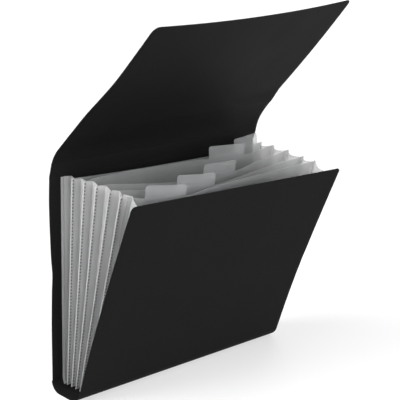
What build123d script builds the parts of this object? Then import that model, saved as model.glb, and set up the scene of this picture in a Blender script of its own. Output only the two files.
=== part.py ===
"""Accordion file folder: a creased plastic cover with a fan of film pockets inside it.

The folder stands on the flat of its bottom strip, front towards -Y, +X to the right and +Z up.
The origin is the middle of that flat underside. Lengths are millimetres and angles are degrees.
A sheet's lean is its angle from upright, positive towards the front.
"""
import os
from math import cos, hypot, radians, sin, sqrt, tan

from build123d import *

# Cover sheet
side_margin = 15.5
cover_thickness = 0.9
flat_depth = 16.2
rear_radius = 14.3
front_radius = 14.0
back_lean = -9.0
front_lean = 12.2
back_height = 221.0
shoulder_angle = 11.0
shoulder_radius = 12.0
shoulder_height = 13.0
front_height = 229.0
front_corner = 5.0

# Top strip and closing flap
strip_set_angle = 9.0
strip_curve_length = 20.5
strip_curl_angle = 25.5
strip_flat_length = 19.5
flap_length = 173.0
flap_curl_angle = -5.0
flap_corner = 8.0

# How the flap bends in use: forward at its left and in the middle, back at its right
flap_left_lift = 4.2
flap_left_end = 2.3
flap_right_drop = 6.2
flap_right_end = 0.9
flap_middle_bow = 5.6
flap_lift_start = 26.0
flap_lift_length = 78.0
flap_drop_length = 43.0

# Folds that the creases make, and the clearance beside each crease
spine_fold_angle = 60.0
flap_fold_angle = 120.0
hinge_clearance = 0.1

# Bellows of thin film
pocket_count = 6
bellows_width = 304.0
film = 0.4
pleat_film = 0.3
weld_gap = 0.05
film_foot = 7.5
lining_inset = 1.0
lining_drop = 0.5
divider_rise = 2.1
flange_width = 5.0
pleat_wall = 12.4
floor_dip = 2.0
floor_lift = 0.5
floor_side_gap = 1.5

# Index tabs, one on each divider, stepping from the right at the back to the left at the front
tab_width = 49.5
tab_height = 14.5
tab_corner = 3.5
tab_pitch = 57.8
left_tab_inset = 19.0
right_tab_inset = 11.5

# Sizes that follow from the ones above
cover_width = bellows_width + 2 * side_margin
half_cover = cover_thickness / 2
divider_count = pocket_count - 1


def heading(lean):
    """Direction along a sheet that leans by this much, as (y, z)."""
    return Vector(-sin(radians(lean)), cos(radians(lean)))


def rear_normal(lean):
    """Direction square to that sheet, towards its rear."""
    return Vector(cos(radians(lean)), sin(radians(lean)))


def run_end(start, lean, length, turn):
    """End of a run along a sheet that turns evenly as it goes."""
    if turn == 0:
        return start + heading(lean) * length
    chord = 2 * length / radians(turn) * sin(radians(turn) / 2)
    return start + heading(lean + turn / 2) * chord


def sheet_end(start, lean, runs):
    """End point and lean of a sheet's middle line that follows runs of (length, turn)."""
    for length, turn in runs:
        start = run_end(start, lean, length, turn)
        lean += turn
    return start, lean


def draw_sheet(start, lean, runs, thickness):
    """Draw the closed outline of a sheet about its middle line."""
    Line(start - rear_normal(lean) * thickness / 2, start + rear_normal(lean) * thickness / 2)
    for length, turn in runs:
        middle = run_end(start, lean, length / 2, turn / 2)
        end = run_end(start, lean, length, turn)
        for side in (-thickness / 2, thickness / 2):
            first = start + rear_normal(lean) * side
            last = end + rear_normal(lean + turn) * side
            if turn == 0:
                Line(first, last)
            else:
                ThreePointArc(first, middle + rear_normal(lean + turn / 2) * side, last)
        start = end
        lean += turn
    Line(start - rear_normal(lean) * thickness / 2, start + rear_normal(lean) * thickness / 2)


def sheet_plane(foot, lean):
    """Plane of a flat sheet, with its local y up the sheet from its foot."""
    forward = rear_normal(lean) * -1
    return Plane(origin=(0, foot.X, foot.Y), x_dir=(1, 0, 0), z_dir=(0, forward.X, forward.Y))


def ease(value):
    """Smooth step from 0 to 1."""
    value = min(1.0, max(0.0, value))
    return value * value * (3 - 2 * value)


def crease_gap(fold):
    """Distance from a crease's axis to the fixed sheet's end that lets the other sheet fold this far."""
    return max(half_cover, half_cover / tan(radians(180 - fold) / 2)) + hinge_clearance


def save(part, name):
    """Label a finished piece and write it."""
    part.label = name
    export_step(part, f"parts/{name}.step")


os.makedirs("parts", exist_ok=True)

# Middle line of the cover, from the rear crease round the bottom to the front crease
rear_turn = 90 + back_lean
front_turn = 90 - front_lean
rear_middle_radius = rear_radius - half_cover
front_middle_radius = front_radius - half_cover
rear_crease = Vector(flat_depth / 2, rear_radius) + rear_normal(back_lean) * rear_middle_radius
front_crease = Vector(-flat_depth / 2, front_radius) - rear_normal(front_lean) * front_middle_radius

# Middle line of the cover above the back panel
shoulder_length = shoulder_radius * radians(shoulder_angle)
back_runs = [(back_height, 0), (shoulder_length, shoulder_angle), (shoulder_height, 0)]
spine_crease, shoulder_lean = sheet_end(rear_crease, back_lean, back_runs)
strip_lean = shoulder_lean + strip_set_angle
strip_runs = [(strip_curve_length, strip_curl_angle), (strip_flat_length, 0)]
flap_crease, flap_lean = sheet_end(spine_crease, strip_lean, strip_runs)
spine_gap = crease_gap(spine_fold_angle + strip_set_angle)
flap_gap = crease_gap(flap_fold_angle)
front_gap = half_cover + hinge_clearance

# Bottom strip: a rounded U, flat underneath
front_arc_length = front_middle_radius * radians(front_turn)
front_arc_share = 1 - front_gap / front_arc_length
with BuildPart() as bottom_strip:
    with BuildSketch(Plane.YZ):
        with BuildLine():
            draw_sheet(
                rear_crease,
                180 + back_lean,
                [
                    (rear_middle_radius * radians(rear_turn), -rear_turn),
                    (flat_depth, 0),
                    (front_arc_length * front_arc_share, -front_turn * front_arc_share),
                ],
                cover_thickness,
            )
        make_face()
    extrude(amount=cover_width / 2, both=True)
save(bottom_strip.part, "bottom_strip")

# Back panel: upright sheet with a scored shoulder just under the spine crease
with BuildPart() as back_panel:
    with BuildSketch(Plane.YZ):
        with BuildLine():
            draw_sheet(
                rear_crease,
                back_lean,
                [*back_runs[:2], (shoulder_height - spine_gap, 0)],
                cover_thickness,
            )
        make_face()
    extrude(amount=cover_width / 2, both=True)
save(back_panel.part, "back_panel")

# Top strip: rolls forward from the spine crease, then runs straight to the flap crease
with BuildPart() as top_strip:
    with BuildSketch(Plane.YZ):
        with BuildLine():
            draw_sheet(
                spine_crease,
                strip_lean,
                [strip_runs[0], (strip_flat_length - flap_gap, 0)],
                cover_thickness,
            )
        make_face()
        with Locations(spine_crease):
            Circle(half_cover)
    extrude(amount=cover_width / 2, both=True)
save(top_strip.part, "top_strip")


def free_corners(panel, end):
    """The two short edges at the outer corners of a panel's free end."""
    corners = panel.edges().filter_by(lambda edge: abs(edge.length - cover_thickness) < 0.01)
    return corners.sort_by(lambda edge: (edge.center() - end).length)[:2]


def flap_bow(across, distance):
    """How far the flap stands forward of an even curl; across goes from -1 at the left to 1 at the right."""
    up = distance / flap_length
    left = flap_left_lift * ease((distance - flap_lift_start) / flap_lift_length) + flap_left_end * up**2
    right = flap_right_drop * ease(distance / flap_drop_length) + flap_right_end * up
    middle = flap_middle_bow * up**1.5
    return left * (1 - across) / 2 - right * (1 + across) / 2 + middle * (1 - across**2)


def flap_line(across, side):
    """Draw one face of the flap as a curve that leaves the crease straight."""
    points = []
    for mark in flap_marks:
        turn = flap_curl_angle * mark / flap_length
        middle = run_end(flap_crease, flap_lean, mark, turn)
        points.append(middle + rear_normal(flap_lean + turn) * (side - flap_bow(across, mark)))
    return Spline(*points, tangents=[heading(flap_lean), points[-1] - points[-2]])


# Closing flap: a bent sheet through three sections, drawn a little too large and trimmed to its outline
overhang = 1.03
flap_marks = [flap_length * share for share in (0, 0.15, 0.3, 0.5, 0.75, overhang)]
flap_chord = run_end(flap_crease, flap_lean, flap_length, flap_curl_angle) - flap_crease
with BuildPart() as flap:
    for across in (-overhang, 0, overhang):
        with BuildSketch(Plane.YZ.offset(across * cover_width / 2)):
            with BuildLine():
                front_line = flap_line(across, -half_cover)
                rear_line = flap_line(across, half_cover)
                Line(front_line @ 0, rear_line @ 0)
                Line(front_line @ 1, rear_line @ 1)
            make_face()
    loft()
    with BuildSketch(sheet_plane(flap_crease, flap_lean + flap_curl_angle / 2)) as flap_outline:
        Rectangle(cover_width, 2 * flap_chord.length)
        fillet(flap_outline.vertices().group_by(Axis.Y)[-1], flap_corner)
    extrude(amount=flap_corner + flap_middle_bow + flap_right_drop, both=True, mode=Mode.INTERSECT)
    with BuildSketch(Plane.YZ):
        with Locations(flap_crease):
            Circle(half_cover)
    extrude(amount=cover_width / 2, both=True)
save(flap.part, "flap")

# Front panel with rounded top corners
front_end = sheet_end(front_crease, front_lean, [(front_height, 0)])[0]
with BuildPart() as front_panel:
    with BuildSketch(Plane.YZ):
        with BuildLine():
            draw_sheet(front_crease, front_lean, [(front_height, 0)], cover_thickness)
        make_face()
        with Locations(front_crease):
            Circle(half_cover)
    extrude(amount=cover_width / 2, both=True)
    fillet(free_corners(front_panel, Vector(0, front_end.X, front_end.Y)), front_corner)
save(front_panel.part, "front_panel")


def on_sheet(start, lean, height):
    """The y of a straight sheet's middle line at this height."""
    return start.X - tan(radians(lean)) * (height - start.Y)


# Middle lines of the film sheets: a lining on the back, the dividers and a lining on the front
bond_offset = half_cover + weld_gap + film / 2
rear_lining = rear_crease - rear_normal(back_lean) * bond_offset
front_lining = front_crease + rear_normal(front_lean) * bond_offset
pleat_top = rear_crease.Y + back_height * cos(radians(back_lean)) - lining_drop
film_top = pleat_top + divider_rise
sheet_feet = []
sheet_leans = []
for index in range(pocket_count + 1):
    share = index / pocket_count
    rear_y = on_sheet(rear_lining, back_lean, film_foot)
    front_y = on_sheet(front_lining, front_lean, film_foot)
    sheet_feet.append(Vector(rear_y + (front_y - rear_y) * share, film_foot))
    sheet_leans.append(back_lean + (front_lean - back_lean) * share)


def lining(name, foot, lean, top):
    """Plain sheet bonded to a panel of the cover, from its crease to just under its top."""
    start = foot + heading(lean) * lining_inset
    height = (top - start.Y) / cos(radians(lean))
    with BuildPart() as sheet:
        with BuildSketch(sheet_plane(start, lean)):
            Rectangle(bellows_width, height, align=(Align.CENTER, Align.MIN))
        extrude(amount=film / 2, both=True)
    save(sheet.part, name)
    return start.Y


rear_foot = lining("rear_lining", rear_lining, back_lean, pleat_top)
front_foot = lining("front_lining", front_lining, front_lean, pleat_top)
foot_heights = [rear_foot] + [film_foot] * divider_count + [front_foot]

# Dividers, each with one index tab
tab_limit = bellows_width / 2 - right_tab_inset
for index in range(1, pocket_count):
    tab_start = left_tab_inset - bellows_width / 2 + (divider_count - index) * tab_pitch
    tab_end = min(tab_start + tab_width, tab_limit)
    height = (film_top - film_foot) / cos(radians(sheet_leans[index]))
    with BuildPart() as divider:
        with BuildSketch(sheet_plane(sheet_feet[index], sheet_leans[index])) as outline:
            Rectangle(bellows_width, height, align=(Align.CENTER, Align.MIN))
            with Locations((tab_start, height)):
                Rectangle(tab_end - tab_start, tab_height, align=(Align.MIN, Align.MIN))
            fillet(outline.vertices().group_by(Axis.Y)[-1], tab_corner)
        extrude(amount=film / 2, both=True)
    save(divider.part, f"divider_{index}")


def facing_faces(index, height):
    """The y of the two faces that bound a pocket at this height: rear sheet's front, front sheet's rear."""
    rear = on_sheet(sheet_feet[index - 1], sheet_leans[index - 1], height)
    front = on_sheet(sheet_feet[index], sheet_leans[index], height)
    rear_half = film / 2 / cos(radians(sheet_leans[index - 1]))
    front_half = film / 2 / cos(radians(sheet_leans[index]))
    return rear - rear_half - weld_gap, front + front_half + weld_gap


def pleat_section(index, height, side):
    """Outline of a gusset at this height: a flange on each sheet and a fold into the pocket between them."""
    rear, front = facing_faces(index, height)
    middle = (rear + front) / 2
    half_gap = rear - pleat_film - middle
    depth = sqrt(pleat_wall**2 - half_gap**2)
    wall_sine = half_gap / hypot(half_gap, depth)
    wall_cosine = depth / hypot(half_gap, depth)
    outer = bellows_width / 2
    inner = outer - flange_width
    corner = inner - pleat_film * wall_sine / (1 + wall_cosine)
    valley = inner - depth
    points = [
        (outer, rear - pleat_film),
        (inner, rear - pleat_film),
        (valley, middle),
        (inner, front + pleat_film),
        (outer, front + pleat_film),
        (outer, front),
        (corner, front),
        (valley - pleat_film / wall_sine, middle),
        (corner, rear),
        (outer, rear),
    ]
    return [(side * x, y) for x, y in points]


# Gussets: one folded pleat at each end of each pocket
for side, side_name in ((-1, "left"), (1, "right")):
    for index in range(1, pocket_count + 1):
        pleat_foot = max(foot_heights[index - 1], foot_heights[index])
        with BuildPart() as pleat:
            for height in (pleat_foot, pleat_top):
                with BuildSketch(Plane.XY.offset(height)):
                    with BuildLine():
                        Polyline(*pleat_section(index, height, side), close=True)
                    make_face()
            loft(ruled=True)
        save(pleat.part, f"{side_name}_pleat_{index}")

# Pocket floors: a shallow fold from the foot of one sheet to the foot of the next
floor_width = bellows_width - 2 * (flange_width + pleat_wall + floor_side_gap)
for index in range(1, pocket_count + 1):
    rear_lip = foot_heights[index - 1] + floor_lift
    front_lip = foot_heights[index] + floor_lift
    rear_y = facing_faces(index, rear_lip)[0]
    front_y = facing_faces(index, front_lip)[1]
    fold_height = min(rear_lip, front_lip) - floor_dip
    fold_y = (rear_y + front_y) / 2
    with BuildPart() as pocket_floor:
        with BuildSketch(Plane.YZ):
            with BuildLine():
                Polyline(
                    (rear_y, rear_lip),
                    (fold_y, fold_height),
                    (front_y, front_lip),
                    (front_y, front_lip + pleat_film),
                    (fold_y, fold_height + pleat_film),
                    (rear_y, rear_lip + pleat_film),
                    close=True,
                )
            make_face()
        extrude(amount=floor_width / 2, both=True)
    save(pocket_floor.part, f"pocket_floor_{index}")

print("front crease", front_crease.X, front_crease.Y)
print("spine crease", spine_crease.X, spine_crease.Y)
print("flap crease", flap_crease.X, flap_crease.Y)
print("flap lean", flap_lean)
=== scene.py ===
"""Looks of the accordion file folder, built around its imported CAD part.

Lengths are millimetres and angles are degrees until a point goes into a mesh, which is in metres.
A sheet's lean is its angle from upright, positive towards the front, and a bow is how far a sheet
stands forward of the flat CAD sheet.
"""

from functools import partial
from math import cos, pi, radians, sin, sqrt, tan

import bmesh
import bpy
import numpy as np
from mathutils import Matrix, Vector


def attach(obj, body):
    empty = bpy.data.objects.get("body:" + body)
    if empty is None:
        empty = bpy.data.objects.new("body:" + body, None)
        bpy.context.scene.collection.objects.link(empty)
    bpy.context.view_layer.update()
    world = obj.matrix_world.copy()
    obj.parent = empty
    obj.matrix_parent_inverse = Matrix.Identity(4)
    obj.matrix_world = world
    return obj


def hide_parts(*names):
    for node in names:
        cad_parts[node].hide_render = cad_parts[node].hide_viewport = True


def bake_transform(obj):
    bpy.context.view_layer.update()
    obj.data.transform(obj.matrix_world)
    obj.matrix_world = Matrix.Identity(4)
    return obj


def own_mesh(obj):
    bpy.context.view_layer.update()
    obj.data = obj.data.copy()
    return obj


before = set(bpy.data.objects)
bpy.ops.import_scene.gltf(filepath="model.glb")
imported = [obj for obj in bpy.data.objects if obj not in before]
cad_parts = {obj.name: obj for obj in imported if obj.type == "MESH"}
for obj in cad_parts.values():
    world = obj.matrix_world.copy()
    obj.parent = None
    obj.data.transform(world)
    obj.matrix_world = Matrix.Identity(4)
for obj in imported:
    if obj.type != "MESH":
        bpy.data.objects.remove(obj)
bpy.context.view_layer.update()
mm = 0.001

# Cover sheet, the same sizes as the solids
cover_half_width = 167.5
cover_thickness = 0.9
flat_depth = 16.2
rear_radius = 14.3
front_radius = 14.0
back_lean = -9.0
front_lean = 12.2
back_height = 221.0
shoulder_angle = 11.0
shoulder_radius = 12.0
shoulder_height = 13.0
front_height = 229.0
front_corner = 5.0
strip_set_angle = 9.0
strip_curve_length = 20.5
strip_curl_angle = 25.5
strip_flat_length = 19.5
flap_length = 173.0
flap_curl_angle = -5.0
flap_corner = 8.0
front_gap = 0.55

# Film, the same sizes as the solids
pocket_count = 6
film_half_width = 152.0
film = 0.4
pleat_film = 0.3
film_foot = 7.5
lining_inset = 1.0
film_bond = 0.7
pleat_top = 229.91
film_top = 232.01
floor_half_width = 133.1
tab_corner = 3.5
tab_width = 49.5
tab_pitch = 57.8
left_tab_start = -133.0
last_tab_end = 140.5


def heading(lean):
    """Direction along a sheet that leans by this much, as (y, z)."""
    return np.array([-sin(radians(lean)), cos(radians(lean))])


def rear_normal(lean):
    """Direction square to that sheet, towards its rear."""
    return np.array([cos(radians(lean)), sin(radians(lean))])


def run_end(start, lean, length, turn):
    """End of a run along a sheet that turns evenly as it goes."""
    if abs(turn) < 1e-9:
        return start + heading(lean) * length
    chord = 2 * length / radians(turn) * sin(radians(turn) / 2)
    return start + heading(lean + turn / 2) * chord


def walk(start, lean, runs, distance):
    """Point and lean at a distance along a sheet's middle line of (length, turn) runs."""
    for length, turn in runs[:-1]:
        if distance <= length:
            break
        start = run_end(start, lean, length, turn)
        lean += turn
        distance -= length
    else:
        length, turn = runs[-1]
    turned = turn * distance / length
    return run_end(start, lean, distance, turned), lean + turned


def ease(value):
    """Smooth step from 0 to 1."""
    value = min(1.0, max(0.0, value))
    return value * value * (3 - 2 * value)


def through(points, x):
    """Smooth curve through (x, value) points, level past its ends."""
    if x <= points[0][0]:
        return points[0][1]
    if x >= points[-1][0]:
        return points[-1][1]
    slopes = []
    for i in range(len(points)):
        low = points[max(i - 1, 0)]
        high = points[min(i + 1, len(points) - 1)]
        slopes.append((high[1] - low[1]) / (high[0] - low[0]))
    for i in range(len(points) - 1):
        (x0, v0), (x1, v1) = points[i], points[i + 1]
        if x <= x1:
            span = x1 - x0
            t = (x - x0) / span
            return (
                v0 * (1 + 2 * t) * (1 - t) ** 2
                + slopes[i] * span * t * (1 - t) ** 2
                + v1 * t * t * (3 - 2 * t)
                + slopes[i + 1] * span * t * t * (t - 1)
            )


# One middle line for the whole cover: down from the front crease, round the bottom, up the back and over
crease_round = 2.0
half_cover = cover_thickness / 2
front_bend = front_radius - half_cover
rear_bend = rear_radius - half_cover
front_crease = np.array([-flat_depth / 2, front_radius]) - rear_normal(front_lean) * front_bend
rear_crease = np.array([flat_depth / 2, rear_radius]) + rear_normal(back_lean) * rear_bend
bottom_runs = [
    (front_bend * radians(90 - front_lean), 90 - front_lean),
    (flat_depth, 0),
    (rear_bend * radians(90 + back_lean), 90 + back_lean),
]
back_runs = [
    (back_height, 0),
    (shoulder_radius * radians(shoulder_angle), shoulder_angle),
    (shoulder_height - crease_round / 2, 0),
]
strip_runs = [
    (crease_round, strip_set_angle),
    (strip_curve_length - crease_round / 2, strip_curl_angle),
    (strip_flat_length, 0),
]
cover_runs = bottom_runs + back_runs + strip_runs + [(flap_length, flap_curl_angle)]
rear_mark = sum(length for length, turn in bottom_runs)
shoulder_mark = rear_mark + back_height
spine_mark = rear_mark + sum(length for length, turn in back_runs) + crease_round / 2
flap_mark = spine_mark + strip_curve_length + strip_flat_length
cover_end = flap_mark + flap_length

# The back piece and the flap piece meet between the spine crease and the flap crease
split_distance = 28.0
split_mark = spine_mark + split_distance

# How the cover bends in use: its left and right edges differ
back_edge_wave = [
    (0, 1.2), (60, 0.9), (100, 1.9), (118, 2.8),
    (136, 1.0), (190, -1.1), (221, -0.4), (236, 0.4),
]
margin_start = 0.915
back_bow_start = 217.0
back_bow_length = 19.0
strip_left_foot = 0.4
strip_right_foot = 2.0
strip_right_top = -3.4
flap_left_lift = 4.2
flap_left_end = 2.3
flap_lift_start = 0.15
flap_lift_share = 0.45
flap_right_drop = -2.8
flap_right_end = -0.9
flap_drop_share = 0.15
flap_middle_bow = 5.6
flap_bow_power = 1.5
crease_depth = 0.22
crease_half_width = 0.7


def cover_bow(x, mark):
    """Bow of the cover behind the pockets and above them."""
    if mark < rear_mark:
        return 0.0
    across = x / cover_half_width
    left_share = (1 - across) / 2
    right_share = (1 + across) / 2
    left_edge = ease((-across - margin_start) / (1 - margin_start))
    if mark < spine_mark:
        height = mark - rear_mark
        right = strip_right_foot * right_share * ease((height - back_bow_start) / back_bow_length)
        return left_edge * through(back_edge_wave, height) + right
    if mark < flap_mark:
        up = (mark - spine_mark) / (flap_mark - spine_mark)
        right = strip_right_foot * (1 - up) ** 2 + strip_right_top * ease(up)
        return strip_left_foot * left_edge * (1 - up) + right * right_share
    up = (mark - flap_mark) / flap_length
    left = flap_left_lift * ease((up - flap_lift_start) / flap_lift_share) + flap_left_end * up * up
    right = strip_right_top + flap_right_drop * ease(up / flap_drop_share) + flap_right_end * up
    middle = flap_middle_bow * (1 - across * across) * up**flap_bow_power
    return left * left_share + right * right_share + middle


def crease_line(mark):
    """Shallow pressed line along each crease of the cover."""
    depth = 0.0
    for crease in (spine_mark, flap_mark, shoulder_mark):
        depth += crease_depth * np.exp(-(((mark - crease) / crease_half_width) ** 2))
    return depth


def cover_line(mark):
    """Point and lean of the cover's middle line, as if it didn't bow."""
    return walk(front_crease, front_lean + 180, cover_runs, mark)


def cover_place(x, mark):
    """Point and rear direction of the cover sheet's middle."""
    point, lean = cover_line(mark)
    normal = rear_normal(lean)
    point = point - normal * (cover_bow(x, mark) - crease_line(mark))
    return np.array([x, *point]), np.array([0, *normal])


# Front panel: its left side hangs back, its right side comes forward above the middle
front_left_bow = -6.0
front_left_power = 3
front_right_bow = 6.4
front_right_start = 0.45
front_right_power = 1.2
front_right_dent = -0.9
front_dent_share = 0.5


def front_bow(x, height):
    """Bow of the front panel and of the lining bonded to it."""
    across = x / cover_half_width
    up = min(1.0, max(0.0, height / front_height))
    left = front_left_bow * (1 - (1 - up) ** front_left_power)
    right_up = max(0.0, (up - front_right_start) / (1 - front_right_start))
    right = front_right_bow * right_up**front_right_power
    right += front_right_dent * sin(pi * min(1.0, up / front_dent_share))
    return left * (1 - across) / 2 + right * (1 + across) / 2


def front_place(x, height):
    """Point and rear direction of the front panel's middle."""
    normal = rear_normal(front_lean)
    point = front_crease + heading(front_lean) * height - normal * front_bow(x, height)
    return np.array([x, *point]), np.array([0, *normal])


# Film sheets: 0 is the rear lining, 1 to 5 the dividers and 6 the front lining
def on_sheet(start, lean, height):
    """The y of a straight sheet's middle line at this height."""
    return start[0] - tan(radians(lean)) * (height - start[1])


rear_foot_y = on_sheet(rear_crease - rear_normal(back_lean) * film_bond, back_lean, film_foot)
front_foot_y = on_sheet(front_crease + rear_normal(front_lean) * film_bond, front_lean, film_foot)
sheet_feet = []
sheet_leans = []
for index in range(pocket_count + 1):
    share = index / pocket_count
    sheet_feet.append(np.array([rear_foot_y + (front_foot_y - rear_foot_y) * share, film_foot]))
    sheet_leans.append(back_lean + (front_lean - back_lean) * share)

# Bow of each divider along its top edge, from the left fin to the right one
divider_bows = {
    1: [
        (-147, -4.2), (-120, -1.0), (-64, 3.6), (-8, 6.2),
        (50, 8.4), (98, 8.2), (138, 7.4), (147, 6.2),
    ],
    2: [
        (-147, -7.2), (-130, -11.0), (-67, -11.5), (-10, -7.0),
        (40, -1.5), (90, 7.6), (120, 6.5), (147, 4.1),
    ],
    3: [
        (-147, -10.1), (-125, -4.5), (-105, 3.9), (-62, 18.0),
        (-17, 19.5), (32, 22.8), (79, 14.1), (147, 5.1),
    ],
    4: [
        (-147, -11.3), (-122, -1.0), (-113, 2.3), (-75, 13.0),
        (-26, 22.5), (20, 18.0), (100, 9.5), (147, 6.9),
    ],
    5: [
        (-148, -15.8), (-139, -5.0), (-130, 2.4), (-84, 12.0),
        (-45, 8.0), (20, 4.8), (147, 3.4),
    ],
}
# Lift of each divider's top edge above the flat CAD sheet, from the left fin to the right one
divider_lifts = {
    1: [(-152, 1.6), (-130, 1.2), (98, 1.2), (152, 5.4)],
    2: [(-152, 3.3), (-130, 3.4), (90, 4.0), (152, 7.2)],
    3: [(-152, 2.7), (-130, 3.4), (32, 3.9), (152, 7.6)],
    4: [(-152, 2.1), (-130, 3.4), (-26, 3.9), (152, 6.8)],
    5: [(-152, -0.5), (-133, 3.3), (-84, 3.4), (152, 6.2)],
}
tab_heights = {1: 13.2, 2: 13.4, 3: 13.6, 4: 14.4, 5: 13.8}
tab_curls = {1: -3.0, 2: -2.4, 3: -2.4, 4: -3.6, 5: -3.0}
tab_curl_power = 1.5
bow_power = 1.35
lift_power = 4
bend_radii = {0: rear_bend - film_bond, pocket_count: front_bend - film_bond}
bend_heights = {0: rear_crease[1] - film_foot, pocket_count: front_crease[1] - film_foot}


def sheet_height(index, z):
    """Distance up a film sheet from its foot to a height above the floor."""
    return (z - film_foot) / cos(radians(sheet_leans[index]))


def film_bow(index, x, height):
    """Bow of a film sheet."""
    if index == 0:
        return 0.0
    if index == pocket_count:
        return front_bow(x, height)
    top = sheet_height(index, film_top)
    up = height / top
    share = up**bow_power if up < 1 else 1 + bow_power * (up - 1)
    up_tab = max(0.0, up - 1) * top / tab_heights[index]
    return through(divider_bows[index], x) * share + tab_curls[index] * up_tab**tab_curl_power


def film_lift(index, x, height):
    """How far a divider's film reaches up past the flat CAD sheet."""
    if index not in divider_lifts:
        return 0.0
    up = min(1.0, height / sheet_height(index, film_top))
    return through(divider_lifts[index], x) * up**lift_power


def film_place(index, x, height):
    """Point and rear direction of a film sheet's middle; the linings follow the cover round its bottom."""
    along = heading(sheet_leans[index])
    normal = rear_normal(sheet_leans[index])
    if index in bend_radii and height < bend_heights[index]:
        radius = bend_radii[index]
        turn = (bend_heights[index] - height) / radius
        inward = 1 if index == 0 else -1
        crease = sheet_feet[index] + along * bend_heights[index]
        point = crease - along * radius * sin(turn) - normal * inward * radius * (1 - cos(turn))
        bent_normal = normal * cos(turn) - along * inward * sin(turn)
        return np.array([x, *point]), np.array([0, *bent_normal])
    up = max(0.0, height)
    reach = height + film_lift(index, x, up)
    point = sheet_feet[index] + along * reach - normal * film_bow(index, x, up)
    return np.array([x, *point]), np.array([0, *normal])


# Mesh helpers
round_from_angle = 50.0
round_segments = 2
round_profile = 0.6
crisp_from_angle = 45.0
stud_sides = 8
stud_end_share = 0.7
stud_chamfer_start = 0.9


def spaced(start, end, step):
    """Even values from start to end, about a step apart."""
    count = max(1, round(abs(end - start) / step))
    return list(np.linspace(start, end, count + 1))


def divided(start, length, count):
    """Even values over a length, in this many equal steps."""
    return [start + length * i / count for i in range(count + 1)]


def merged(*lists):
    """Sorted values of several lists, without near repeats."""
    result = []
    for value in sorted(v for values in lists for v in values):
        if not result or value - result[-1] > 1e-6:
            result.append(value)
    return result


class Shape:
    """Collects the parts of one piece's mesh, each part with a material number."""

    def __init__(self):
        self.points = []
        self.faces = []
        self.numbers = []
        self.seam_points = set()

    def add_sheet(self, grids, place, thickness, face_number=lambda a, b: 0, rim_number=0, seams=()):
        """Closed thin sheet over grids of (a, b) values; grids join where they share values.

        Edges along the b values named as seams meet another piece and stay square.
        """
        index = {}
        values = []
        quads = []
        for grid in grids:
            ids = []
            for row in grid:
                ids.append([])
                for a, b in row:
                    key = (round(a, 4), round(b, 4))
                    if key not in index:
                        index[key] = len(values)
                        values.append((a, b))
                    ids[-1].append(index[key])
            for lower, upper in zip(ids, ids[1:]):
                for i in range(len(lower) - 1):
                    quads.append((lower[i], lower[i + 1], upper[i + 1], upper[i]))
        placed = [place(a, b) for a, b in values]
        first = len(self.points)
        count = len(values)
        for i, (a, b) in enumerate(values):
            if b in seams:
                self.seam_points.update((first + i, first + count + i))
        for side in (-thickness / 2, thickness / 2):
            self.points += [point + normal * side for point, normal in placed]
        directed = {}
        for quad in quads:
            self.faces.append(tuple(first + i for i in quad))
            self.faces.append(tuple(first + count + i for i in reversed(quad)))
            self.numbers += [face_number(*values[quad[0]])] * 2
            for start, end in zip(quad, quad[1:] + quad[:1]):
                directed[(start, end)] = True
        for start, end in directed:
            if (end, start) not in directed:
                front = (first + end, first + start)
                self.faces.append(front + (first + count + start, first + count + end))
                self.numbers.append(rim_number)

    def add_stud(self, centre, axis, half_length, radius, number):
        """Small pin with chamfered ends."""
        axis = axis / np.linalg.norm(axis)
        across = np.array([1.0, 0.0, 0.0])
        up = np.cross(axis, across)
        chamfer = half_length * stud_chamfer_start
        rings = [
            (-half_length, stud_end_share),
            (-chamfer, 1.0),
            (chamfer, 1.0),
            (half_length, stud_end_share),
        ]
        first = len(self.points)
        for offset, share in rings:
            for i in range(stud_sides):
                turn = 2 * pi * i / stud_sides
                arm = (across * cos(turn) + up * sin(turn)) * radius * share
                self.points.append(centre + axis * offset + arm)
        for ring in range(len(rings) - 1):
            for i in range(stud_sides):
                j = (i + 1) % stud_sides
                low = first + ring * stud_sides
                high = low + stud_sides
                self.faces.append((low + i, low + j, high + j, high + i))
                self.numbers.append(number)
        last = first + (len(rings) - 1) * stud_sides
        self.faces.append(tuple(reversed(range(first, first + stud_sides))))
        self.faces.append(tuple(range(last, last + stud_sides)))
        self.numbers += [number, number]

    def build(self, name, materials, edge_round=0.0):
        """Make the Blender object."""
        mesh = bpy.data.meshes.new(name)
        mesh.from_pydata([Vector(point) * mm for point in self.points], [], self.faces)
        for material in materials:
            mesh.materials.append(material)
        mesh.polygons.foreach_set("material_index", self.numbers)
        work = bmesh.new()
        work.from_mesh(mesh)
        work.verts.index_update()
        bmesh.ops.recalc_face_normals(work, faces=work.faces)
        if edge_round:
            sharp = []
            for edge in work.edges:
                on_seam = all(vert.index in self.seam_points for vert in edge.verts)
                if edge.calc_face_angle(0) > radians(round_from_angle) and not on_seam:
                    sharp.append(edge)
            bmesh.ops.bevel(
                work,
                geom=sharp,
                offset=edge_round * mm,
                segments=round_segments,
                profile=round_profile,
                affect="EDGES",
            )
        work.to_mesh(mesh)
        work.free()
        mesh.shade_smooth()
        mesh.set_sharp_from_angle(angle=radians(crisp_from_angle))
        piece = bpy.data.objects.new(name, mesh)
        bpy.context.scene.collection.objects.link(piece)
        return piece


def wide_grid(rows, half_width, columns):
    """Grid of (x, row) values whose half width may change from row to row."""
    return [[(share * half_width(row), row) for share in columns] for row in rows]


def numeric_place(position, small=0.02):
    """Turn a function for a surface's points into one that also gives its normal."""

    def place(a, b):
        along = position(a + small, b) - position(a - small, b)
        up = position(a, b + small) - position(a, b - small)
        normal = np.cross(up, along)
        return position(a, b), normal / np.linalg.norm(normal)

    return place


# Materials
def grey(level):
    """Even colour for a ramp."""
    return (level,) * 3


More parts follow.
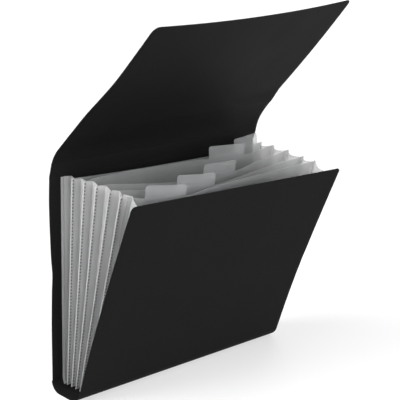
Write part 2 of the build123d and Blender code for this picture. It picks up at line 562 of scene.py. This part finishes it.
def new_material(name):
    """Node material with its tree, shader and object coordinates."""
    material = bpy.data.materials.new(name)
    material.use_nodes = True
    tree = material.node_tree
    shader = tree.nodes["Principled BSDF"]
    coordinates = tree.nodes.new("ShaderNodeTexCoord")
    return material, tree, shader, coordinates.outputs["Object"]


def add_noise(tree, vector, scale, detail=2.0, stretch=None):
    """Noise texture over object coordinates, optionally stretched."""
    if stretch:
        mapping = tree.nodes.new("ShaderNodeMapping")
        mapping.inputs["Scale"].default_value = stretch
        tree.links.new(vector, mapping.inputs["Vector"])
        vector = mapping.outputs["Vector"]
    noise = tree.nodes.new("ShaderNodeTexNoise")
    noise.inputs["Scale"].default_value = scale
    noise.inputs["Detail"].default_value = detail
    tree.links.new(vector, noise.inputs["Vector"])
    return noise.outputs["Fac"]


def add_ramp(tree, value, low, high, start=0.3, end=0.7):
    """Colour ramp between two greys or colours."""
    ramp = tree.nodes.new("ShaderNodeValToRGB")
    ramp.color_ramp.elements[0].position = start
    ramp.color_ramp.elements[1].position = end
    ramp.color_ramp.elements[0].color = (*low, 1)
    ramp.color_ramp.elements[1].color = (*high, 1)
    tree.links.new(value, ramp.inputs["Fac"])
    return ramp.outputs["Color"]


def add_bump(tree, shader, value, strength, distance):
    """Fine relief on a shader."""
    bump = tree.nodes.new("ShaderNodeBump")
    bump.inputs["Strength"].default_value = strength
    bump.inputs["Distance"].default_value = distance
    tree.links.new(value, bump.inputs["Height"])
    tree.links.new(bump.outputs["Normal"], shader.inputs["Normal"])


def cover_material():
    """Matt black sheet with a fine grain."""
    material, tree, shader, vector = new_material("cover_black")
    mottle = add_noise(tree, vector, scale=700.0)
    tone = add_ramp(tree, mottle, low=(0.0082, 0.0082, 0.0085), high=(0.0118, 0.0118, 0.0121))
    tree.links.new(tone, shader.inputs["Base Color"])
    smear = add_noise(tree, vector, scale=25.0)
    tree.links.new(add_ramp(tree, smear, grey(0.5), grey(0.54)), shader.inputs["Roughness"])
    shader.inputs["Specular IOR Level"].default_value = 0.015
    grain = add_noise(tree, vector, scale=1900.0, detail=1.0)
    add_bump(tree, shader, grain, strength=0.15, distance=0.0001)
    return material


def film_material(name, alpha, low, high, roughness):
    """Frosted translucent film, a little uneven up its height; a ray meets both faces of a sheet."""
    material, tree, shader, vector = new_material(name)
    streaks = add_noise(tree, vector, scale=12.0, stretch=(2.0, 2.0, 0.4))
    tree.links.new(add_ramp(tree, streaks, low, high), shader.inputs["Base Color"])
    haze = add_noise(tree, vector, scale=30.0, stretch=(1.0, 1.0, 0.3))
    hazed = add_ramp(tree, haze, grey(roughness), grey(roughness + 0.06))
    tree.links.new(hazed, shader.inputs["Roughness"])
    shader.inputs["Alpha"].default_value = alpha
    shader.inputs["Subsurface Weight"].default_value = 0.8
    shader.inputs["Subsurface Radius"].default_value = (1, 1, 1)
    shader.inputs["Subsurface Scale"].default_value = 0.002
    ripple = add_noise(tree, vector, scale=45.0, detail=1.0, stretch=(1.0, 1.0, 0.35))
    add_bump(tree, shader, ripple, strength=0.06, distance=0.0005)
    return material


def weld_material():
    """Dark pressed weld spots, their dark partly the welds' own colour and partly painted shade."""
    material, tree, shader, vector = new_material("weld_spot")
    speckle = add_noise(tree, vector, scale=400.0)
    tree.links.new(add_ramp(tree, speckle, grey(0.018), grey(0.03)), shader.inputs["Base Color"])
    shader.inputs["Roughness"].default_value = 0.45
    return material


black = cover_material()
sheet_film = film_material(
    "sheet_film", alpha=0.34, low=(0.36, 0.365, 0.37), high=(0.4, 0.405, 0.41), roughness=0.4
)
# Pleat film: the same film as the sheets, painted lighter so the pleats carry the brightness of the light
# falling on them, a painted highlight
pleat_film_painted_light = film_material(
    "pleat_film", alpha=0.44, low=(0.59, 0.595, 0.6), high=(0.65, 0.655, 0.66), roughness=0.22
)
# Fin films: the pleat film's painted-light colour, on both sides
left_fin_painted_light = film_material(
    "left_fin_painted_light", alpha=0.45, low=(0.59, 0.595, 0.6), high=(0.65, 0.655, 0.66), roughness=0.22
)
# The right fins are nearly clear so they show no darker lines against the light behind them: painted light
# on the right side only
right_fin_painted_light = film_material(
    "right_fin_painted_light", alpha=0.1, low=(0.58, 0.585, 0.59), high=(0.64, 0.645, 0.65), roughness=0.22
)
# Cut edges: lighter than the sheets, a painted highlight for the light caught along each film's edge
film_edge_highlight = film_material(
    "film_edge_highlight", alpha=0.4, low=(0.5, 0.505, 0.51), high=(0.55, 0.555, 0.56), roughness=0.35
)
weld = weld_material()

# Material numbers: every film piece has its own film first and the cut edge, with its painted highlight,
# second
film_number = 0
edge_highlight_number = 1

# Cover pieces
cover_columns = divided(-1, 2, 60)
bend_step = 1.5
flat_step = 4.0
crease_row_reach = 3.0
crease_row_step = 0.5
cover_corner_steps = 8
cover_edge_round = 0.22


def corner_width(full_half_width, end, corner):
    """Half width of a sheet that has rounded corners at its free end."""

    def half_width(mark):
        into = max(0.0, mark - (end - corner))
        return full_half_width - corner + sqrt(max(0.0, corner**2 - into**2))

    return half_width


def corner_rows(end, corner, steps):
    """Rows close enough together for a rounded corner."""
    return [end - corner + corner * sin(pi / 2 * i / steps) for i in range(steps + 1)]


def crease_rows(mark):
    """Rows close together beside a crease."""
    return spaced(mark - crease_row_reach, mark + crease_row_reach, crease_row_step)


def cover_piece(name, rows, half_width, place, seams):
    """One black sheet of the cover."""
    shape = Shape()
    shape.add_sheet([wide_grid(rows, half_width, cover_columns)], place, cover_thickness, seams=seams)
    return shape.build(name, [black], cover_edge_round)


back_rows = merged(
    spaced(front_gap, rear_mark, bend_step),
    spaced(rear_mark, shoulder_mark, flat_step),
    spaced(shoulder_mark, split_mark, bend_step),
    crease_rows(shoulder_mark),
    crease_rows(spine_mark),
)
cover_back = cover_piece(
    "cover_back",
    back_rows,
    lambda mark: cover_half_width,
    cover_place,
    seams=(back_rows[0], back_rows[-1]),
)

flap_rows = merged(
    spaced(split_mark, flap_mark, bend_step),
    crease_rows(flap_mark),
    spaced(flap_mark + crease_row_reach, cover_end - flap_corner, flat_step),
    corner_rows(cover_end, flap_corner, cover_corner_steps),
)
cover_flap = cover_piece(
    "cover_flap",
    flap_rows,
    corner_width(cover_half_width, cover_end, flap_corner),
    cover_place,
    seams=(flap_rows[0],),
)

front_rows = merged(
    spaced(-front_gap, front_height - front_corner, flat_step),
    corner_rows(front_height, front_corner, cover_corner_steps),
)
front_sheet = cover_piece(
    "front_sheet",
    front_rows,
    corner_width(cover_half_width, front_height, front_corner),
    front_place,
    seams=(front_rows[0],),
)

# Linings: the rear one is cut lower between its ends, and the ends of both look like the pleats, with the
# pleats' film painted lighter as painted light
fin_width = 4.0
fin_inner = film_half_width - fin_width
film_step = 5.0
film_end_step = 3.5
film_columns = merged(
    spaced(-film_half_width, -fin_inner, film_end_step),
    spaced(-fin_inner, fin_inner, film_step),
    spaced(fin_inner, film_half_width, film_end_step),
)
chain = ["back_cover"] + [f"leaf_{index}" for index in range(1, pocket_count)] + ["front_cover"]
film_low = -3.5
lining_feet = {0: film_low, pocket_count: bend_heights[pocket_count] + lining_inset}
lining_row_share = 0.02
lining_end_painted_light_number = 2
rear_cut_depth = 16.0
rear_cut_half_width = 128.0
rear_cut_slope = 16.0


def lining_top(index, x):
    """Height of a lining's top edge."""
    top = sheet_height(index, pleat_top)
    if index == 0:
        top -= rear_cut_depth * ease((rear_cut_half_width + rear_cut_slope - abs(x)) / rear_cut_slope)
    return top


def lining_place(index, x, share):
    """Point and rear direction of a lining, at a share of the way from its foot to its top edge."""
    foot = lining_feet[index]
    return film_place(index, x, foot + (lining_top(index, x) - foot) * share)


def lining_number(x, share):
    """Material number of a lining's faces; the ends take the pleats' film, painted lighter as painted light.
    """
    return lining_end_painted_light_number if x < -fin_inner or x >= fin_inner else film_number


for index, name in ((0, "rear_lining"), (pocket_count, "front_lining")):
    lining_shape = Shape()
    lining_shape.add_sheet(
        [[[(x, share) for x in film_columns] for share in spaced(0, 1, lining_row_share)]],
        partial(lining_place, index),
        film,
        lining_number,
        edge_highlight_number,
    )
    lining = lining_shape.build(f"{name}_film", [sheet_film, film_edge_highlight, pleat_film_painted_light])
    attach(lining, chain[index])
    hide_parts(name)

# Dividers with their index tabs
divider_edge = 141.0
divider_row_step = 6.0
tab_column_step = 4.0
tab_row_step = 2.5
tab_corner_steps = 6
for index in range(1, pocket_count):
    tab_start = left_tab_start + (pocket_count - 1 - index) * tab_pitch
    tab_end = min(tab_start + tab_width, last_tab_end)
    tab_middle = (tab_start + tab_end) / 2
    tab_half = (tab_end - tab_start) / 2
    top = sheet_height(index, film_top)
    tab_top = top + tab_heights[index]
    tab_columns = spaced(tab_start, tab_end, tab_column_step)
    body_columns = merged(
        spaced(-divider_edge, tab_start, film_step),
        tab_columns,
        spaced(tab_end, divider_edge, film_step),
    )
    body = [[(x, height) for x in body_columns] for height in spaced(0, top, divider_row_step)]
    tab_rows = merged(
        spaced(top, tab_top - tab_corner, tab_row_step),
        corner_rows(tab_top, tab_corner, tab_corner_steps),
    )
    tab_half_width = corner_width(tab_half, tab_top, tab_corner)
    tab = []
    for height in tab_rows:
        narrow = tab_half_width(height) / tab_half
        tab.append([(tab_middle + (x - tab_middle) * narrow, height) for x in tab_columns])
    divider_shape = Shape()
    divider_shape.add_sheet([body, tab], partial(film_place, index), film, rim_number=edge_highlight_number)
    divider = divider_shape.build(f"divider_film_{index}", [sheet_film, film_edge_highlight])
    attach(divider, chain[index])
    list(rear_normal(sheet_leans[index]))
    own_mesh(divider)
    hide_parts(f"divider_{index}")

# Fins: the film folds round each divider's edge and is welded to it by a row of spots
side_signs = {"left": -1, "right": 1}
fold_low = -1.8
fin_painted_light_films = {"left": left_fin_painted_light, "right": right_fin_painted_light}
fin_layer = 0.4
fin_swell = 0.3
fin_bulge_scale = 2.6
fin_corner_drops = {"left": 0.5, "right": 1.6}
fin_drop_power = 3
fin_open_share = 0.02
fin_turn_steps = 36
fin_row_share = 0.025
fin_probe = 0.004
strip_gap = 0.1
strip_outer = 150.4
strip_step = 2.4
strip_number = 3
weld_number = 2
# The weld spots are dark on the left fins only and take the fin film on the right: partly the welds' own
# colour, partly painted shade on one side
weld_shade_numbers = {"left": weld_number, "right": film_number}
weld_offset = 2.0
weld_pitch = 3.6
weld_low = 1.0
weld_top_room = 2.5
weld_radii = {"left": 0.95, "right": 0.42}
weld_reach = 0.72


def fin_place(index, side, turn, share):
    """Point of the film loop round a divider's edge; turn goes once round the loop and share goes up it."""
    out = fin_width / 2 * (1 - cos(turn))
    past_weld = max(0.0, (out - weld_offset) / (fin_width - weld_offset))
    bulge = fin_bulge_scale * fin_swell * past_weld * sqrt(max(0.0, 1 - past_weld))
    swell = (bulge if turn < pi else -bulge) + fin_layer * cos(turn / 2)
    drop = fin_corner_drops[side] * (out / fin_width) ** fin_drop_power
    fin_top = sheet_height(index, film_top) - drop
    height = fold_low + (fin_top - fold_low) * share
    point, normal = film_place(index, side_signs[side] * (fin_inner + out), height)
    return point - normal * swell


fin_rounds = divided(fin_open_share, 1 - 2 * fin_open_share, fin_turn_steps)
fin_turns = [2 * pi * share for share in fin_rounds]
fin_grid = [[(turn, share) for turn in fin_turns] for share in spaced(0, 1, fin_row_share)]
strip_columns = spaced(divider_edge + strip_gap, strip_outer, strip_step)
for side in ("left", "right"):
    sign = side_signs[side]
    for index in range(1, pocket_count):
        top = sheet_height(index, film_top)
        strip_rows = spaced(0, top, divider_row_step)
        fin_shape = Shape()
        fin_shape.add_sheet(
            [fin_grid],
            numeric_place(partial(fin_place, index, side), fin_probe),
            pleat_film,
            rim_number=edge_highlight_number,
        )
        fin_shape.add_sheet(
            [[[(sign * x, height) for x in strip_columns] for height in strip_rows]],
            partial(film_place, index),
            film,
            lambda x, height: strip_number,
            strip_number,
        )
        for height in spaced(weld_low, top - weld_top_room, weld_pitch):
            centre, normal = film_place(index, sign * (fin_inner + weld_offset), height)
            fin_shape.add_stud(centre, normal, weld_reach, weld_radii[side], weld_shade_numbers[side])
        fin = fin_shape.build(f"{side}_fin_{index}", [fin_painted_light_films[side], film_edge_highlight, weld, sheet_film])
        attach(fin, chain[index])

# Pleats: soft folds between one fin and the next
pleat_lengths = {"left": [20.0, 23.4, 23.4, 23.4, 23.4, 34.0], "right": [27.5] + [25.0] * 5}
valley_shares = {"left": [0.3, 0.2, 0.2, 0.22, 0.35, 0.24], "right": [0.5] * 6}
valley_least = 3.0
valley_most = 6.2
valley_rounds = {"left": 0.15, "right": 0.45}
valley_dips = {"left": 0.0, "right": 1.4}
pleat_ends = {"left": film_top, "right": film_top - 0.3}
front_slants = {"left": 9.0, "right": 0.0}
pleat_lift = 0.55
pleat_wave = 0.35
pleat_wave_height = 17.0
pleat_wave_shift = 2.1
pleat_steps = 28
pleat_row_share = 0.022
pleat_probe = 0.001
bend_reach = 0.25


def pleat_place(index, side, share, up):
    """Point of a pleat; share goes from -1 at the rear sheet to 1 at the front sheet, and up from 0 to 1."""
    sign = side_signs[side]
    pleat_end = sheet_height(index, pleat_ends[side]) - valley_dips[side] * (1 - share * share)
    if index == pocket_count:
        pleat_end -= front_slants[side] * sqrt(max(0.0, share))
    height = fold_low + (pleat_end - fold_low) * up
    front_foot = lining_feet[index] if index == pocket_count else fold_low
    front_up = front_foot + (pleat_end - front_foot) * up
    rear_point, rear_way = film_place(index - 1, sign * fin_inner, height)
    front_point, front_way = film_place(index, sign * fin_inner, front_up)
    rear_point = rear_point - rear_way * pleat_lift
    front_point = front_point + front_way * pleat_lift
    gap = np.linalg.norm(front_point - rear_point)
    valley = valley_shares[side][index - 1]
    half_length = pleat_lengths[side][index - 1] / 2
    off_middle = (valley - 0.5) * gap / half_length
    depth = sqrt(max(0.0, half_length**2 - gap**2 / 4) * (1 - off_middle**2))
    depth = min(valley_most, max(valley_least, depth))
    soft = valley_rounds[side]
    fold = (sqrt(1 + soft**2) - sqrt(share**2 + soft**2)) / (sqrt(1 + soft**2) - soft)
    ripple = sin(height / pleat_wave_height + pleat_wave_shift * index)
    wave = pleat_wave * ripple * (1 - share * share) * sin(pi * share)
    along = (share + 1) * valley if share < 0 else valley + share * (1 - valley)
    point = rear_point + (front_point - rear_point) * along
    return point + np.array([-sign * (depth * fold + wave), 0, 0])


pleat_shares = divided(-1, 2, pleat_steps)
pleat_grid = [[(share, up) for share in pleat_shares] for up in spaced(0, 1, pleat_row_share)]
for side in ("left", "right"):
    for index in range(1, pocket_count + 1):
        pleat_shape = Shape()
        pleat_shape.add_sheet(
            [pleat_grid],
            numeric_place(partial(pleat_place, index, side), pleat_probe),
            pleat_film,
            rim_number=edge_highlight_number,
        )
        # The pleats take the film painted lighter as painted light
        pleat = pleat_shape.build(f"{side}_pleat_film_{index}", [pleat_film_painted_light, film_edge_highlight])
        low = (pleat_place(index, side, -1, 0) + pleat_place(index, side, 1, 0)) / 2
        rear_top = pleat_place(index, side, -1, 1)
        front_top = pleat_place(index, side, 1, 1)
        high = (rear_top + front_top) / 2
        across = np.array([0, -(high - low)[2], (high - low)[1]])
        across = across / np.linalg.norm(across) * np.linalg.norm(front_top - rear_top) * bend_reach
        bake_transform(pleat)
        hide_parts(f"{side}_pleat_{index}")

# Pocket floors: a soft fold from the foot of one sheet to the foot of the next
floor_lifts = [0.5, 0.5, 0.5, 0.5, 0.5, 2.5]
floor_dips = [2.0, 1.8, 1.6, 1.4, 1.0, 0.3]
floor_offset = film / 2 + 0.1
floor_fold_power = 0.8
floor_open_share = 0.04
floor_steps = 16
floor_column_step = 12.0


def foot_height(index):
    """Where a sheet's own film starts, above the sheet's foot line."""
    if index in bend_heights:
        return bend_heights[index] + lining_inset
    return 0.0


def floor_place(rear_lip, front_lip, lowest, x, share):
    """Point of a pocket floor; share goes from its rear lip to its front lip."""
    point = rear_lip + (front_lip - rear_lip) * share
    point[0] = x
    point[2] -= (point[2] - lowest) * sin(pi * share) ** floor_fold_power
    return point


floor_columns = spaced(-floor_half_width, floor_half_width, floor_column_step)
floor_shares = divided(floor_open_share, 1 - 2 * floor_open_share, floor_steps)
floor_grid = [[(x, share) for x in floor_columns] for share in floor_shares]
for index in range(1, pocket_count + 1):
    lift = floor_lifts[index - 1]
    rear_lip, rear_way = film_place(index - 1, 0, foot_height(index - 1) + lift)
    front_lip, front_way = film_place(index, 0, foot_height(index) + lift)
    rear_lip = rear_lip - rear_way * floor_offset
    front_lip = front_lip + front_way * floor_offset
    lowest = min(rear_lip[2], front_lip[2]) - floor_dips[index - 1]
    floor_shape = Shape()
    floor_shape.add_sheet(
        [floor_grid],
        numeric_place(partial(floor_place, rear_lip, front_lip, lowest)),
        pleat_film,
        rim_number=edge_highlight_number,
    )
    floor = floor_shape.build(f"floor_film_{index}", [sheet_film, film_edge_highlight])
    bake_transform(floor)
    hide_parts(f"pocket_floor_{index}")

# The cover's back and flap pieces stay where they are built; the front sheet follows its body
crease_reach = 7.0
spine_point, spine_lean = cover_line(spine_mark)
flap_point, flap_lean = cover_line(flap_mark)


def along_crease(point, lean, distance):
    """Point beside a crease, along the sheet."""
    return np.array([0, *(point + heading(lean) * distance)]) * mm


along_crease(spine_point, spine_lean, -crease_reach)
along_crease(spine_point, spine_lean, crease_reach)
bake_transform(cover_back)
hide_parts("back_panel", "bottom_strip")
along_crease(flap_point, flap_lean, -crease_reach)
along_crease(flap_point, flap_lean, crease_reach)
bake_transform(cover_flap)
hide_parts("top_strip", "flap")
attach(front_sheet, "front_cover")
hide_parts("front_panel")

# Floor, light and camera
ground_reach = 12.0
ground_glow = 0.5
world_light = 0.4
world_white = 1.0


def seen_background(tree):
    """One for the rays that show the background: camera, glossy and transmission rays."""
    path = tree.nodes.new("ShaderNodeLightPath")
    seen = path.outputs["Is Camera Ray"]
    for kind in ("Is Glossy Ray", "Is Transmission Ray"):
        either = tree.nodes.new("ShaderNodeMath")
        either.operation = "MAXIMUM"
        tree.links.new(seen, either.inputs[0])
        tree.links.new(path.outputs[kind], either.inputs[1])
        seen = either.outputs[0]
    return seen


def floor_material():
    """Pale floor that shows nearly white to the camera and keeps the shadow."""
    material, tree, shader, vector = new_material("pale_floor")
    tone = add_noise(tree, vector, scale=3.0, detail=1.0)
    tree.links.new(add_ramp(tree, tone, grey(0.45), grey(0.47)), shader.inputs["Base Color"])
    shader.inputs["Roughness"].default_value = 0.9
    shader.inputs["Specular IOR Level"].default_value = 0.1
    shader.inputs["Emission Color"].default_value = (1, 1, 1, 1)
    glow = tree.nodes.new("ShaderNodeMath")
    glow.operation = "MULTIPLY"
    glow.inputs[1].default_value = ground_glow
    tree.links.new(seen_background(tree), glow.inputs[0])
    tree.links.new(glow.outputs[0], shader.inputs["Emission Strength"])
    return material


ground_corners = [
    (-ground_reach, -ground_reach, 0),
    (ground_reach, -ground_reach, 0),
    (ground_reach, ground_reach, 0),
    (-ground_reach, ground_reach, 0),
]
floor_mesh = bpy.data.meshes.new("floor")
floor_mesh.from_pydata(ground_corners, [], [(0, 1, 2, 3)])
floor_mesh.materials.append(floor_material())
ground = bpy.data.objects.new("floor", floor_mesh)
bpy.context.scene.collection.objects.link(ground)


def add_softbox(name, place, target, size, power):
    """Square area light aimed at a point."""
    light = bpy.data.lights.new(name, "AREA")
    light.shape = "SQUARE"
    light.size = size
    light.energy = power
    lamp = bpy.data.objects.new(name, light)
    lamp.location = place
    lamp.rotation_euler = (Vector(target) - Vector(place)).to_track_quat("-Z", "Y").to_euler()
    bpy.context.scene.collection.objects.link(lamp)


middle = (0, 0, 0.2)
add_softbox("left_box", (-2.2, 0.8, 1.1), middle, size=1.3, power=58)
add_softbox("front_box", (-1.0, -2.3, 1.0), middle, size=1.4, power=42)
add_softbox("top_box", (-1.3, 0.2, 2.4), middle, size=1.6, power=44)
add_softbox("right_box", (0.9, -2.4, 1.0), middle, size=1.4, power=20)
add_softbox("rear_box", (3.0, 2.1, 1.2), middle, size=2.0, power=52)

world = bpy.data.worlds.new("studio")
world.use_nodes = True
bpy.context.scene.world = world
world_tree = world.node_tree
background = world_tree.nodes["Background"]
background.inputs["Color"].default_value = (1, 1, 1, 1)
level = world_tree.nodes.new("ShaderNodeMapRange")
level.inputs["To Min"].default_value = world_light
level.inputs["To Max"].default_value = world_white
world_tree.links.new(seen_background(world_tree), level.inputs["Value"])
world_tree.links.new(level.outputs["Result"], background.inputs["Strength"])
bpy.context.scene.view_settings.view_transform = "Standard"

camera_data = bpy.data.cameras.new("camera")
camera_data.sensor_width = 36.0
camera_data.lens = 134.55
camera = bpy.data.objects.new("camera", camera_data)
camera_right = Vector((0.66017, -0.74034, 0.12676))
camera_up = Vector((0.151, 0.29614, 0.94313))
camera_back = camera_right.cross(camera_up)
camera_place = Vector((-1.21746, -1.01043, 0.70962))
camera_turn = Matrix((camera_right, camera_up, camera_back)).transposed().to_4x4()
camera.matrix_world = Matrix.Translation(camera_place) @ camera_turn
bpy.context.scene.collection.objects.link(camera)
bpy.context.scene.camera = camera
